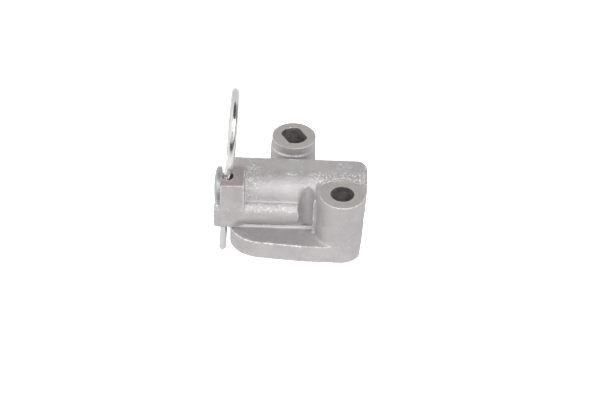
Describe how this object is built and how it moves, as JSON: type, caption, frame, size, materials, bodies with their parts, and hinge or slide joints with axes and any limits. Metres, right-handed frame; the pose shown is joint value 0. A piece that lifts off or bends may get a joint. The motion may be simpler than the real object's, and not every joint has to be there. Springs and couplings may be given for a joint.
{
  "type": "timing chain tensioner",
  "caption": "Hydraulic timing chain tensioner: cast body with bolt bosses, sprung domed plunger and a wire locking pin with a finger loop.",
  "frame": {"origin": "on the flat mounting face, midway between the two bolt holes", "axes": "+Z out of the mounting face, away from the engine block; the plunger extends along -X; +Y from the front bolt's side to the back bolt's side"},
  "size_m": [0.0462, 0.0427, 0.0575],
  "materials": {
    "cast_aluminium": "die-cast and shot-blasted, faces of the bosses machined",
    "ground_steel": "ground and hardened steel, lightly oiled",
    "hardened_steel": "hardened steel, fine turned",
    "natural_plastic": "moulded unfilled nylon",
    "spring_steel": "drawn spring wire",
    "polished_steel": "polished bearing ball",
    "bright_zinc_wire": "bright zinc-plated round wire"
  },
  "bodies": {
    "body": {"housing": "cast_aluminium", "valve_seat": "hardened_steel", "ball_retainer": "spring_steel", "check_ball_spring": "spring_steel", "plunger_spring": "spring_steel"},
    "plunger_unit": {"plunger": "ground_steel", "vent_disc": "hardened_steel", "spring_guide": "natural_plastic"},
    "valve_ball": {"check_ball": "polished_steel"},
    "pin": {"locking_pin": "bright_zinc_wire"}
  },
  "joints": [
    {"name": "pin_pull", "type": "slide", "parent": "body", "child": "pin", "axis": [0.0539, 0, 0.9985], "range_m": [0, 0.12]},
    {"name": "plunger_slide", "type": "slide", "parent": "body", "child": "plunger_unit", "axis": [-1, 0, 0], "range_m": [0, 0.01], "deforming": ["plunger_spring"]},
    {"name": "check_ball_lift", "type": "slide", "parent": "body", "child": "valve_ball", "axis": [-1, 0, 0], "range_m": [0, 0.0005], "deforming": ["check_ball_spring"]}
  ],
  "couplings": [
    {"joint": "plunger_slide", "follows": "pin_pull", "ratio": 0.083333}
  ]
}
